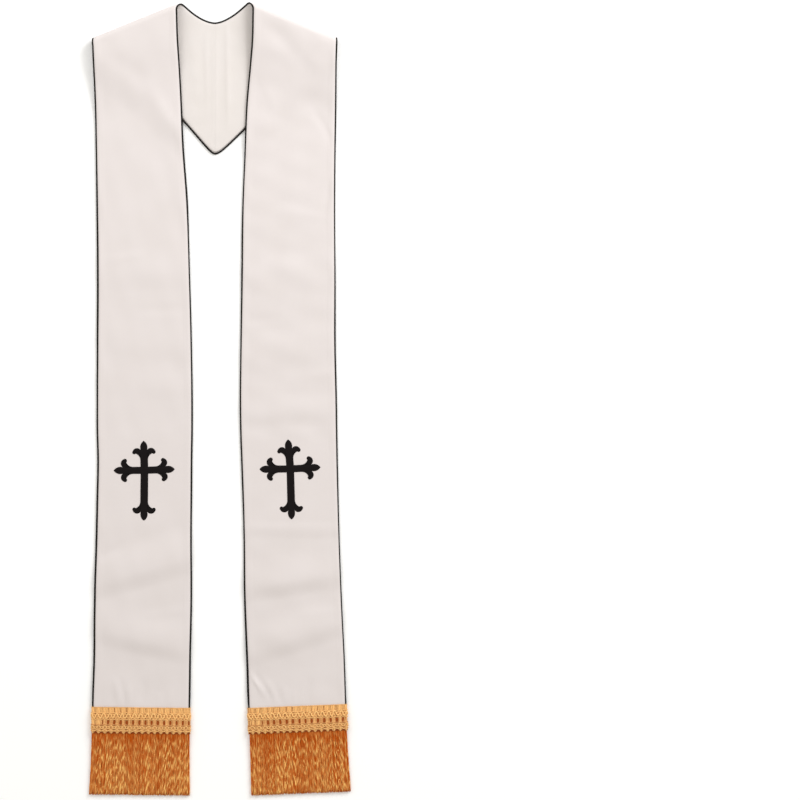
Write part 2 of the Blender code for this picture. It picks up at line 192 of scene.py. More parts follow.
def eased(share):
    """A share of the way from 0 to 1, with a soft start and end."""
    share = np.clip(share, 0.0, 1.0)
    return share * share * (3.0 - 2.0 * share)


def neck_edge(side, out):
    """How far down the neck edge of the back lies."""
    curve, power = NECK_SHAPE[side]
    return NECK_DIP - curve * np.abs(out) ** power


def v_edge(side, out):
    """How far down the V edge of the back lies, with its point rounded."""
    slope, rounding, bow = V_SHAPE[side]
    return V_POINT - slope * (np.hypot(out, rounding) - rounding) + bow * out * out


def shoulder(side):
    """The neck end of the shoulder fold, the way along it, and its length."""
    neck_out, neck_down, tip_out, tip_down = SHOULDERS[side]
    way = np.array((tip_out - neck_out, tip_down - neck_down))
    length = float(np.linalg.norm(way))
    return np.array((neck_out, neck_down)), way / length, length


def below_fold(side, out, down):
    """How far a place lies inwards from the shoulder fold."""
    start, way, _ = shoulder(side)
    return way[0] * (down - start[1]) - way[1] * (out - start[0])


def fold_meets(side, edge):
    """How far out an edge of the back comes within the roll of the fold."""
    outs = np.linspace(0.0, SHOULDERS[side][2], 4000)
    return float(outs[below_fold(side, outs, edge(outs)) > FOLD_RADIUS].max())


def inset_place(out, down, slope_out, slope_down, inset, turn):
    """Places on an edge moved in from it, square to the way that the edge runs."""
    step = turn * inset / np.hypot(slope_out, slope_down)
    return np.stack((out - slope_down * step, down + slope_out * step), axis=-1)


def back_edge(edge, out, inset, turn):
    """Places on an edge of the back, moved in by the inset: down for a turn of 1, up for -1."""
    step = 0.01
    slope = (edge(out + step) - edge(out - step)) / (2 * step)
    return inset_place(out, edge(out), np.ones_like(out), slope, inset, turn)


def front_out(side, edge, down):
    """How far out an edge of a front lies, on a smooth curve through its rows."""
    at, value = FRONT_EDGES[:, 0], FRONT_EDGES[:, (1 if side < 0 else 3) + edge]
    slope = np.gradient(value, at)
    row = np.clip(np.searchsorted(at, down) - 1, 0, len(at) - 2)
    span = at[row + 1] - at[row]
    share = (down - at[row]) / span
    bend = share * share * (3 - 2 * share)
    start = value[row] * (1 - bend) + span * slope[row] * share * (1 - share) ** 2
    return start + value[row + 1] * bend - span * slope[row + 1] * share * share * (1 - share)


def front_edge(side, edge, down, inset):
    """Places on the inner (0) or outer (1) edge of a front, moved in by the inset."""
    step = 0.5
    slope = (front_out(side, edge, down + step) - front_out(side, edge, down - step)) / (2 * step)
    turn = -1 if edge == 0 else 1
    return inset_place(front_out(side, edge, down), down, slope, np.ones_like(down), inset, turn)


def front_height(side, out, down):
    """The height of the middle of a front's layers: over the fold, the back, a wave or in the braid."""
    from_fold = below_fold(side, out, down) - FOLD_RADIUS
    roll = (2 * FOLD_RADIUS - OVER_BACK) * (1.0 - eased(from_fold / SHOULDER_FALL))
    past_back = (down - v_edge(side, out)) / math.hypot(1.0, V_SHAPE[side][0])
    landed = eased((past_back - BACK_EDGE_HELD) / BACK_EDGE_FALL) * eased(from_fold / SHOULDER_FALL * 3)
    height = FLOOR_LAYER + roll + OVER_BACK * (1.0 - landed)
    inner, outer = front_out(side, 0, down), front_out(side, 1, down)
    held_at_edges = 0.4 + 0.6 * np.sin(np.clip((out - inner) / (outer - inner), 0.0, 1.0) * math.pi)
    for crest, rise, above, below, slope in WAVES[side]:
        past = down - crest - slope * (out - 120.0)
        away = np.clip(past / np.where(past < 0, above, below), -1.0, 1.0)
        height = height + rise * held_at_edges * np.cos(away * math.pi / 2) ** 2
    lifted_from = HEM_DOWN - BRAID_ABOVE_HEM - HEM_LIFT_LENGTH - 4
    return height + HEM_LIFT * eased((down - lifted_from) / HEM_LIFT_LENGTH)


def slope_along(side, ahead):
    """How fast a way across the fold moves along it, for each step round it."""
    way = shoulder(side)[1]
    return math.pi * FOLD_RADIUS * float(np.dot(ahead, way)) / abs(way[0] * ahead[1] - way[1] * ahead[0])


def round_fold(start, crossing, finish, first_slope, last_slope, share):
    """Where an edge lies along the fold: it crosses at its place, and sets off and leaves smoothly."""
    bend = eased(share)
    line = start * (1 - bend) + finish * bend
    line += first_slope * share * (1 - share) ** 2 - last_slope * share**2 * (1 - share)
    halfway = (start + finish) / 2 + (first_slope - last_slope) / 8
    return line + 16 * (crossing - halfway) * (share * (1 - share)) ** 2


def strip(side, shares, inset, steps):
    """Points across one half, row by row from the seam to the hem, and the row where the front starts."""
    back_steps, fold_steps, turn_steps, front_steps = steps
    start, way, length = shoulder(side)
    inwards = np.array((-way[1], way[0]))
    neck_line, v_line = partial(neck_edge, side), partial(v_edge, side)
    neck_reach, v_reach = fold_meets(side, neck_line), fold_meets(side, v_line)
    share = np.linspace(0.0, 1.0, back_steps + 1) ** 1.5
    inner = back_edge(neck_line, share * neck_reach, inset, 1)
    outer = back_edge(v_line, share * v_reach, inset, -1)
    inner[0, 0] = outer[0, 0] = SEAM_GAP / 2
    across = inner[:, None] + (outer - inner)[:, None] * shares[None, :, None]
    back = np.concatenate((across, np.full((*across.shape[:2], 1), FLOOR_LAYER)), axis=2)

    share = np.arange(1, fold_steps + 1) / fold_steps
    back_inner = float(np.dot(np.array((neck_reach, neck_line(neck_reach))) - start, way))
    back_outer = float(np.dot(np.array((v_reach, v_line(v_reach))) - start, way))
    neck_crossing, front_inner, tip_crossing, front_outer = FOLD_CROSSINGS[side]
    tip_crossing += length
    front_outer += length
    starts = [float((start + way * at + inwards * FOLD_RADIUS)[1]) for at in (front_inner, front_outer)]
    ends = []
    for back_end, crossing, front_end, turn, edge, reach, front, down in (
        (back_inner, neck_crossing, front_inner, 1, neck_line, neck_reach, 0, starts[0]),
        (back_outer, tip_crossing, front_outer, -1, v_line, v_reach, 1, starts[1]),
    ):
        first_slope = slope_along(side, (0.1, edge(reach + 0.1) - edge(reach)))
        last_way = front_out(side, front, down + 1.0) - front_out(side, front, down)
        last_slope = slope_along(side, (last_way, 1.0))
        line = round_fold(back_end, crossing, front_end, first_slope, last_slope, share)
        slant = (front_end - back_end) / (math.pi * FOLD_RADIUS)
        ends.append(line + turn * inset * math.hypot(1.0, slant))
    along = ends[0][:, None] + (ends[1] - ends[0])[:, None] * shares
    drawn_in = NECK_DRAWN_IN * (1 - eased((along - neck_crossing) / NECK_DRAWN_LENGTH))
    roll = FOLD_RADIUS + (drawn_in - FOLD_RADIUS) * np.sin(share * math.pi)[:, None]
    level = FLOOR_LAYER + FOLD_RADIUS * (1 - np.cos(share * math.pi))
    plan = start + along[..., None] * way + roll[..., None] * inwards
    fold = np.concatenate((plan, np.broadcast_to(level[:, None, None], (*along.shape, 1))), axis=2)

    turning = np.arange(1, turn_steps + 1) / turn_steps
    level_down = LEVEL_FROM + (HEM_DOWN - LEVEL_FROM) * np.arange(1, front_steps + 1) / front_steps
    rise = HEM_RISE[side] * eased((level_down - HEM_LEAN_FROM) / (HEM_DOWN - HEM_LEAN_FROM))
    inner_down = np.concatenate((starts[0] + (LEVEL_FROM - starts[0]) * turning, level_down))
    outer_down = np.concatenate((starts[1] + (LEVEL_FROM - starts[1]) * turning, level_down - rise))
    inner = front_edge(side, 0, inner_down, inset)
    outer = front_edge(side, 1, outer_down, inset)
    plan = inner[:, None] + (outer - inner)[:, None] * shares[None, :, None]
    height = front_height(side, plan[..., 0], plan[..., 1])
    front = np.concatenate((plan, height[..., None]), axis=2)

    points = np.concatenate((back, fold, front)) * np.array((side, -1.0, 1.0))
    return points, len(back) + len(fold)


def unit(ways):
    """Directions brought to a length of one."""
    return ways / np.linalg.norm(ways, axis=-1, keepdims=True)


def outwards(side, points):
    """The direction out of the face cloth at each point of a strip."""
    return unit(side * np.cross(np.gradient(points, axis=0), np.gradient(points, axis=1)))


def in_frame(points):
    """Turns places by the centre line and the top of the shoulders into metres in the frame."""
    return points * MM + np.array((centre_x, top_y, 0.0))


def crease_height(rows, out, down):
    """The sum of short soft ridges and troughs at each place."""
    height = np.zeros_like(out)
    for middle_out, middle_down, half_length, half_width, rise, turn in rows:
        turn = math.radians(turn)
        along = (down - middle_down) * math.cos(turn) + (out - middle_out) * math.sin(turn)
        aside = (out - middle_out) * math.cos(turn) - (down - middle_down) * math.sin(turn)
        height += rise * np.exp(-((aside / half_width) ** 2) - (along / half_length) ** 4)
    return height


def unevenness(seed, points, height, shortest, longest):
    """A slow, shallow unevenness of cloth that has been folded and smoothed out by hand."""
    pick = np.random.default_rng(seed)
    total = np.zeros(points.shape[:2])
    for _ in range(12):
        way, wave = pick.uniform(0, math.tau), pick.uniform(shortest, longest)
        place = points[..., 0] * math.cos(way) + points[..., 1] * math.sin(way)
        total += np.sin(place / wave * math.tau + pick.uniform(0, math.tau))
    return total * height / math.sqrt(12)


def grid_mesh(name, points, uv):
    """A sheet of faces through rows of points in metres, with its UV map in metres along the cloth."""
    sheet = bmesh.new()
    rows, columns = points.shape[:2]
    bmesh.ops.create_grid(sheet, x_segments=columns - 1, y_segments=rows - 1, size=1.0)
    mesh = bpy.data.meshes.new(name)
    sheet.to_mesh(mesh)
    sheet.free()
    mesh.vertices.foreach_set("co", points.reshape(-1).astype(np.float32))
    corners = np.empty(len(mesh.loops), np.int32)
    mesh.loops.foreach_get("vertex_index", corners)
    layer = mesh.uv_layers.new(name="UVMap")
    layer.data.foreach_set("uv", uv.reshape(-1, 2)[corners].reshape(-1).astype(np.float32))
    mesh.shade_smooth()
    return mesh


def cloth_uv(points):
    """How far across and along the cloth each point lies, in metres, measured on its surface."""
    across = np.linalg.norm(np.diff(points, axis=1), axis=2)
    along = np.linalg.norm(np.diff(points, axis=0), axis=2).mean(axis=1)
    u = np.concatenate((np.zeros((len(points), 1)), np.cumsum(across, axis=1)), axis=1)
    u -= u[:, -1:] / 2
    v = np.concatenate(([0.0], np.cumsum(along)))
    return np.stack((u, np.broadcast_to(v[:, None], u.shape)), axis=2)


def add_piece(name, mesh, material, node):
    """Puts a finished mesh in the scene: it rides on the stole and stands for its CAD node."""
    piece = bpy.data.objects.new(name, mesh)
    mesh.materials.append(material)
    bpy.context.scene.collection.objects.link(piece)
    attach(piece, "root")
    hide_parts(node)
    return piece


def add_cloth(name, points, wall, material, node):
    """Puts a strip of cloth in the scene, with its UV map along the cloth and its wall in millimetres."""
    mesh = grid_mesh(name, in_frame(points), cloth_uv(points) * MM)
    cloth = add_piece(name, mesh, material, node)
    thickness = cloth.modifiers.new("wall", "SOLIDIFY")
    thickness.thickness = wall * MM
    thickness.offset = 0.0
    return cloth


def new_material(name, colour, roughness):
    """A Principled material with its node lists, for a finish to build on."""
    material = bpy.data.materials.new(name)
    material.use_nodes = True
    nodes, links = material.node_tree.nodes, material.node_tree.links
    shader = nodes["Principled BSDF"]
    shader.inputs["Base Color"].default_value = (*colour, 1.0)
    shader.inputs["Roughness"].default_value = roughness
    return material, nodes, links, shader


def scaled(nodes, links, output, scale, turn=0.0):
    """A coordinate stretched by a scale on each axis and turned about Z."""
    mapping = nodes.new("ShaderNodeMapping")
    mapping.inputs["Scale"].default_value = scale
    mapping.inputs["Rotation"].default_value = (0.0, 0.0, turn)
    links.new(output, mapping.inputs["Vector"])
    return mapping.outputs["Vector"]


def blended(nodes, links, amount, low, high):
    """A colour that goes from low to high with an amount."""
    ramp = nodes.new("ShaderNodeValToRGB")
    ramp.color_ramp.elements[0].color = (*low, 1.0)
    ramp.color_ramp.elements[1].color = (*high, 1.0)
    links.new(amount, ramp.inputs["Fac"])
    return ramp.outputs["Color"]


def bumped(nodes, links, height, distance, strength, below=None):
    """A bump of a real height, laid over another bump if there is one."""
    bump = nodes.new("ShaderNodeBump")
    bump.inputs["Distance"].default_value = distance
    bump.inputs["Strength"].default_value = strength
    links.new(height, bump.inputs["Height"])
    if below is not None:
        links.new(below, bump.inputs["Normal"])
    return bump.outputs["Normal"]


def noise_texture(nodes, links, vector, scale=1.0, detail=2.0):
    """How much of a fine random pattern there is at each place."""
    noise = nodes.new("ShaderNodeTexNoise")
    noise.inputs["Scale"].default_value = scale
    noise.inputs["Detail"].default_value = detail
    links.new(vector, noise.inputs["Vector"])
    return noise.outputs["Fac"]


def along_piece(nodes):
    """Where a place lies on the piece's own UV map."""
    uv = nodes.new("ShaderNodeUVMap")
    uv.uv_map = "UVMap"
    return uv.outputs["UV"]


def woven_material(name, pale, shade, rib_pitch, rib_turn, roughness, sheen):
    """A fine woven cloth: ribs and cross threads as relief, slubs, and a faint change of colour."""
    material, nodes, links, shader = new_material(name, pale, roughness)
    shader.inputs["Sheen Weight"].default_value = sheen
    shader.inputs["Sheen Roughness"].default_value = 0.4
    shader.inputs["Specular IOR Level"].default_value = 0.35
    along = along_piece(nodes)
    clouds = noise_texture(nodes, links, along, 16.0, 3.0)
    links.new(blended(nodes, links, clouds, shade, pale), shader.inputs["Base Color"])
    ribs = nodes.new("ShaderNodeTexWave")
    ribs.wave_type = "BANDS"
    ribs.inputs["Scale"].default_value = 1.0
    ribs.inputs["Distortion"].default_value = 0.4
    ribs.inputs["Detail"].default_value = 1.0
    ribs_a_metre = (1 / rib_pitch / math.tau * 2,) * 3
    links.new(scaled(nodes, links, along, ribs_a_metre, rib_turn), ribs.inputs["Vector"])
    slubs = noise_texture(nodes, links, scaled(nodes, links, along, (1400.0, 90.0, 1.0)))
    relief = bumped(nodes, links, slubs, 0.00006, 0.5)
    relief = bumped(nodes, links, ribs.outputs["Fac"], 0.00005, 0.6, relief)
    links.new(relief, shader.inputs["Normal"])
    return material


# The frame's own seam and neck piping say where the centre line and the top of the shoulders are
centre_x = (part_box("face_left")[1].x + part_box("face_right")[0].x) / 2
both_edges = np.array((0.0, 1.0))
neck_line = np.concatenate([strip(side, both_edges, 0.0, FINE_STEPS)[0][:, 0] for side in (-1, 1)])
top_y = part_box("piping_inner")[1].y - (neck_line[:, 1].max() + PIPING_RADIUS) * MM

edge_shares = np.array(EDGE_STEPS) / NOMINAL_WIDTH
middle_shares = np.linspace(edge_shares[-1], 1 - edge_shares[-1], FACE_COLUMNS)[1:-1]
face_shares = np.concatenate((edge_shares, middle_shares, 1 - edge_shares[::-1]))

face_material = woven_material(
    "ivory_twill", (0.695, 0.645, 0.645), (0.659, 0.608, 0.600), 0.0007, math.radians(45), 0.62, 0.25
)


def edge_distance(points, inset):
    """How far each point of a strip lies from the nearer of its two long edges."""
    across = np.linalg.norm(np.diff(points, axis=1), axis=2)
    from_inner = np.concatenate((np.zeros((len(points), 1)), np.cumsum(across, axis=1)), axis=1)
    return np.minimum(from_inner, from_inner[:, -1:] - from_inner) + inset


def seam_drop(points):
    """How far the cloth turns in at the centre-back seam."""
    return 0.55 * np.exp(-(((np.abs(points[..., 0]) - SEAM_GAP / 2) / 1.3) ** 2))


for side, half in ((-1, "left"), (1, "right")):
    points, front_from = strip(side, face_shares, FACE_INSET, FINE_STEPS)
    normal = outwards(side, points)
    inset = edge_distance(points, FACE_INSET)
    out, down = points[..., 0] * side, -points[..., 1]
    offset = 0.35 + 0.8 * (1 - np.exp(-(inset - FACE_INSET) / 1.3))
    offset += 0.24 * np.exp(-(((inset - 5.5) / 3.0) ** 2)) + 0.14 * (1 - eased((inset - 11.5) / 2.0))
    offset -= seam_drop(points)
    fade = eased((inset - 2.0) / 10.0)
    crease = crease_height(FACE_CREASES[side], out, down)
    crease += unevenness(20 + side, points, 0.32, 26.0, 95.0)
    in_patch = eased((down - CROSS_PATCH[0]) / 20) * eased((CROSS_PATCH[1] - down) / 20)
    is_front = (np.arange(len(points)) >= front_from)[:, None]
    offset += np.where(is_front, crease * fade * (1 - 0.7 * in_patch), 0.0)
    shown = points + normal * offset[..., None]
    name = "face_cloth_" + half
    add_cloth(name, shown, FACE_WALL, face_material, "face_" + half)

# Lining
# Behind each strip of face cloth lies one of smooth ivory lining, cut the same. It shows inside the neck,
# where the back is seen between the fronts, and there it has a few soft upright folds.

LINING_INSET = 1.45
LINING_WALL = 0.4
LINING_SEAM_GAP = 0.04
LINING_STEPS = (60, 20, 44, 200)
LINING_FOLDS = (
    # across from the centre line (right is more), down, half length, half width, height, turn in degrees
    (-14.0, 112, 60, 4.5, 0.5, 1),
    (-1.0, 136, 84, 7.0, 0.4, 0),
    (8.5, 124, 70, 5.0, -0.3, -1),
    (20.5, 118, 78, 3.8, 1.0, 0.5),
    (-33, 110, 50, 9.0, 0.6, 5),
    (37, 116, 50, 9.0, -0.6, -4),
)

lining_material = woven_material(
    "ivory_lining", (0.690, 0.650, 0.642), (0.664, 0.619, 0.594), 0.0005, 0.0, 0.5, 0.15
)
lining_shares = np.concatenate((edge_shares[::2], np.linspace(0.12, 0.88, 17), 1 - edge_shares[::-2]))
for side, half in ((-1, "left"), (1, "right")):
    points, front_from = strip(side, lining_shares, LINING_INSET, LINING_STEPS)
    points[0, :, 0] = side * LINING_SEAM_GAP / 2
    normal = outwards(side, points)
    inset = edge_distance(points, LINING_INSET)
    out, down = points[..., 0] * side, -points[..., 1]
    offset = 0.35 + 0.85 * (1 - np.exp(-(inset - LINING_INSET) / 1.3)) - 0.1 * seam_drop(points)
    folds = crease_height(LINING_FOLDS, points[..., 0], down) + unevenness(40, points, 0.2, 24.0, 80.0)
    is_back = (np.arange(len(points)) < front_from - LINING_STEPS[1])[:, None]
    offset += np.where(is_back, folds * eased((inset - 2.0) / 8.0), 0.0)
    shown = points - normal * offset[..., None]
    name = "lining_cloth_" + half
    add_cloth(name, shown, LINING_WALL, lining_material, "lining_" + half)

# Piping
# A cord in a bias strip of black cloth is sewn into both long edges: one length round the neck edge and
# one round the outer edge and the V of the back. Its cover twists slightly, and puckers at the stitches.

PIPING_SIDES = 10
PIPING_STEPS = (60, 24, 60, 360)
PUCKER_PITCH = 2.4
PUCKER_DEPTH = 0.05
PIPING_SHOWS = np.array((
    # down, then how wide the cord shows: left inner and outer edge, right inner and outer edge
    (80, 1.0, 1.0, 1.0, 1.0),
    (105, 0.9, 1.0, 0.95, 0.88),
    (200, 1.0, 0.92, 0.86, 0.9),
    (261, 1.1, 0.9, 0.76, 0.78),
    (327, 1.1, 1.05, 0.78, 0.72),
    (392, 0.78, 1.12, 1.0, 0.68),
    (457, 0.76, 1.18, 1.0, 0.82),
    (523, 0.86, 1.18, 0.9, 1.0),
    (588, 0.88, 1.0, 0.8, 0.98),
    (653, 1.0, 0.97, 0.9, 0.95),
    (784, 1.1, 1.12, 0.97, 0.85),
    (850, 1.0, 1.18, 0.82, 0.7),
    (915, 1.06, 1.18, 0.92, 0.7),
    (980, 1.06, 1.18, 1.1, 0.74),
    (1046, 1.1, 1.18, 1.2, 0.72),
    (1135, 1.15, 1.12, 1.3, 0.8),
    (1152, 1.0, 1.0, 1.0, 1.0),
))


def piping_material():
    """Black covered cord: bias threads as diagonal relief and a dull sheen."""
    material, nodes, links, shader = new_material("black_piping", (0.008, 0.006, 0.005), 0.6)
    shader.inputs["Specular IOR Level"].default_value = 0.14
    shader.inputs["Sheen Weight"].default_value = 0.02
    threads = nodes.new("ShaderNodeTexWave")
    threads.inputs["Scale"].default_value = 1.0
    threads.inputs["Distortion"].default_value = 0.3
    stretch = scaled(nodes, links, along_piece(nodes), (700.0, 700.0, 1.0), math.radians(45))
    links.new(stretch, threads.inputs["Vector"])
    tones = blended(nodes, links, threads.outputs["Fac"], (0.004, 0.003, 0.003), (0.010, 0.008, 0.006))
    links.new(tones, shader.inputs["Base Color"])
    links.new(bumped(nodes, links, threads.outputs["Fac"], 0.00008, 0.7), shader.inputs["Normal"])
    return material


def closed_tube(name, rings, uv):
    """A closed skin through rings of points in metres, with its ends filled or, in a loop, joined."""
    mesh = grid_mesh(name, np.concatenate((rings, rings[:, :1]), axis=1), uv)
    skin = bmesh.new()
    skin.from_mesh(mesh)
    bmesh.ops.remove_doubles(skin, verts=skin.verts, dist=1e-7)
    bmesh.ops.holes_fill(skin, edges=[edge for edge in skin.edges if edge.is_boundary], sides=0)
    bmesh.ops.recalc_face_normals(skin, faces=skin.faces)
    skin.to_mesh(mesh)
    skin.free()
    mesh.shade_smooth()
    return mesh


def length_along(line):
    """How far each point of a line lies from its start."""
    return np.concatenate(([0.0], np.cumsum(np.linalg.norm(np.diff(line, axis=0), axis=1))))


cord_material = piping_material()
turns = np.linspace(0.0, math.tau, PIPING_SIDES, endpoint=False)
for name, edge in (("piping_inner", 0), ("piping_outer", 1)):
    halves = []
    for side in (-1, 1):
        points, front_from = strip(side, both_edges, 0.0, PIPING_STEPS)
        widths = PIPING_SHOWS[:, 2 + side + edge]
        shows = np.interp(-points[:, edge, 1], PIPING_SHOWS[:, 0], widths)[:, None]
        shows[:front_from] = 1.0
        inwards = (points[:, 1 - edge] - points[:, edge]) / NOMINAL_WIDTH
        halves.append((points[:, edge], outwards(side, points)[:, edge], shows, inwards * (1 - shows)))
    (left, left_up, left_shows, left_in), (right, right_up, right_shows, right_in) = halves
    line = np.concatenate((left[:0:-1], (left[:1] + right[:1]) / 2, right[1:]))
    up = np.concatenate((left_up[:0:-1], right_up))
    shows = np.concatenate((left_shows[:0:-1], right_shows))
    drawn_in = np.concatenate((left_in[:0:-1], right_in)) * PIPING_RADIUS * 0.8
    ahead = unit(np.gradient(line, axis=0))
    aside = unit(np.cross(ahead, up))
    up = np.cross(aside, ahead)
    far = length_along(line)
    radius = PIPING_RADIUS - PUCKER_DEPTH * (1 + np.sin(far[:, None] / PUCKER_PITCH * math.tau + turns)) / 2
    rings = (line + drawn_in)[:, None] + radius[..., None] * (
        np.cos(turns)[None, :, None] * (aside * shows)[:, None] + np.sin(turns)[None, :, None] * up[:, None]
    )
    wrapped = np.linspace(0.0, math.tau * PIPING_RADIUS, PIPING_SIDES + 1) * MM
    uv = np.stack(np.broadcast_arrays(wrapped[None, :], far[:, None] * MM), axis=2)
    mesh = closed_tube(name + "_cord", in_frame(rings), uv)
    add_piece(name + "_cord", mesh, cord_material, name)

# Crosses
# A black cross with budded ends is embroidered on each front in satin stitch: upright and cross bars,
# a pointed leaf at each end and a curl on each side of it. Each is a column of close parallel threads.

CROSSES = {
    # side: out, down, then the turns of the arms in degrees: top, right, bottom, left
    -1: (115.2, 767.3, 1.6, 2.2, -0.6, 0.4),
    1: (123.0, 765.0, 4.4, 3.2, 1.5, 0.7),
}
ARM_REACH = (48.3, 49.4, 82.6, 50.3)
UPRIGHT_HALF = 6.2
CROSSBAR_HALF = 5.8
LEAF_HALF_WIDTH = 5.9
LEAF_WIDEST = 10.8
LEAF_BASE = 18.0
LEAF_BASE_HALF = 5.4
CURL_BACK = 19.2
CURL_OUT = 11.4
CURL_RADIUS = 7.4
BUD_NECK_BACK = 31.4
BUD_NECK_RADIUS = 11.4
CURL_END_THREADS = 10
CENTRE_OVERLAP = 3.0
THREAD_PITCH = 0.42
THREAD_RELIEF = 0.075
STITCH_HEIGHT = 0.95
STITCH_EDGE = LAYERS
STITCH_UNDER = LAYERS - 0.5
SATIN_ACROSS = np.array((0.0, 0.025, 0.1, 0.26, 0.5, 0.74, 0.9, 0.975, 1.0))


def embroidery_material():
    """Black rayon thread: glossy along the stitch, with fine filaments."""
    material, nodes, links, shader = new_material("black_satin_stitch", (0.006, 0.004, 0.005), 0.4)
    shader.inputs["Specular IOR Level"].default_value = 0.11
    place = nodes.new("ShaderNodeTexCoord")
    noise = noise_texture(nodes, links, place.outputs["Object"], 900.0)
    tones = blended(nodes, links, noise, (0.003, 0.002, 0.002), (0.008, 0.005, 0.006))
    links.new(tones, shader.inputs["Base Color"])
    links.new(bumped(nodes, links, noise, 0.00004, 0.5), shader.inputs["Normal"])
    return material


def arc(middle, radius, first, last, count):
    """Points on an arc, with angles in degrees."""
    turn = np.radians(np.linspace(first, last, count))
    return np.stack((middle[0] + radius * np.cos(turn), middle[1] + radius * np.sin(turn)), axis=1)


def rounded_end(first, second, count):
    """Two edges carried on round the half circle that closes the end between them."""
    middle, half = (first[-1] + second[-1]) / 2, (first[-1] - second[-1]) / 2
    onward = np.array((-half[1], half[0]))
    onward *= np.sign(np.dot(onward, second[-1] - second[-2]))
    turn = np.linspace(0.0, math.pi / 2, count + 1)[1:, None]
    first = np.concatenate((first, middle + half * np.cos(turn) + onward * np.sin(turn)))
    return first, np.concatenate((second, middle - half * np.cos(turn) + onward * np.sin(turn)))


def leaf_side(back, way):
    """The outline of a leaf at distances back from its tip, to one side."""
    drop = (LEAF_WIDEST**2 - LEAF_HALF_WIDTH**2) / (2 * LEAF_HALF_WIDTH)
    out = np.sqrt((LEAF_HALF_WIDTH + drop) ** 2 - (back - LEAF_WIDEST) ** 2) - drop
    out = np.where(back > LEAF_WIDEST, np.maximum(out, LEAF_BASE_HALF), out)
    return np.stack((back, way * np.maximum(out, 0.2)), axis=1)


def satin_columns(arm, reach, bar):
    """The pairs of edges between which an arm's threads run: its leaf, its two curls and its bar."""
    back = np.arange(0.0, LEAF_BASE, THREAD_PITCH / 2)
    yield leaf_side(back, -1), leaf_side(back, 1), 1.0
    count = round(24.0 / THREAD_PITCH * 2)
    for way in (-1, 1):
        flip = np.array((1.0, way))
        rim = arc((CURL_BACK, CURL_OUT), CURL_RADIUS, 262.0, 112.0, count) * flip
        hollow = arc((BUD_NECK_BACK, bar + BUD_NECK_RADIUS), BUD_NECK_RADIUS, 266.0, 200.0, count) * flip
        yield *rounded_end(rim, hollow, CURL_END_THREADS), 0.85
    far = np.arange(LEAF_BASE - 3.0, reach + CENTRE_OVERLAP, THREAD_PITCH / 2)
    edge = np.full_like(far, bar)
    yield np.stack((far, -edge), axis=1), np.stack((far, edge), axis=1), 1.12 - 0.12 * (arm % 2)


def take_in(whole, mesh):
    """Adds a finished mesh to the whole and lets it go."""
    whole.from_mesh(mesh)
    bpy.data.meshes.remove(mesh)


def finished(name, whole):
    """The mesh of a whole that has all its parts."""
    mesh = bpy.data.meshes.new(name)
    whole.to_mesh(mesh)
    whole.free()
    mesh.shade_smooth()
    return mesh


stitch_material = embroidery_material()
for side, half in ((-1, "left"), (1, "right")):
    middle_out, middle_down, *turns = CROSSES[side]
    pick = np.random.default_rng(60 + side)
    whole = bmesh.new()
    for arm, reach in enumerate(ARM_REACH):
        bar = UPRIGHT_HALF if arm % 2 == 0 else CROSSBAR_HALF
        heading = math.radians(turns[arm] - 90.0 * arm)
        up_arm = np.array((-math.sin(heading), math.cos(heading)))
        aside_arm = np.array((math.cos(heading), math.sin(heading)))
        for first, second, fullness in satin_columns(arm, reach, bar):
            rows = len(first)
            width = np.linalg.norm(second - first, axis=1)
            flat = first[:, None] + (second - first)[:, None] * SATIN_ACROSS[None, :, None]
            dome = np.sqrt(np.clip(1 - (2 * SATIN_ACROSS - 1) ** 2, 0, 1))
            height = STITCH_HEIGHT * fullness * np.clip(width / 6.0, 0.25, 1.0)
            ridge = THREAD_RELIEF * np.where(np.arange(rows) % 2 == 0, 1.0, -1.0)
            ridge = ridge + pick.normal(0.0, THREAD_RELIEF * 0.25, rows)
            level = STITCH_EDGE + (height + ridge)[:, None] * (0.3 + 0.7 * dome)
            under = flat[:, ::-4]
            plan = np.concatenate((flat, under), axis=1)
            level = np.concatenate((level, np.full((rows, under.shape[1]), STITCH_UNDER)), axis=1)
            place = (reach - plan[..., :1]) * up_arm + plan[..., 1:] * aside_arm
            place += np.array((side * middle_out, -middle_down))
            rings = in_frame(np.concatenate((place, level[..., None]), axis=2))
            take_in(whole, closed_tube("column", rings, np.zeros((rows, rings.shape[1] + 1, 2))))
    name = "embroidered_cross_" + half
    add_piece(name, finished(name, whole), stitch_material, "cross_" + half)
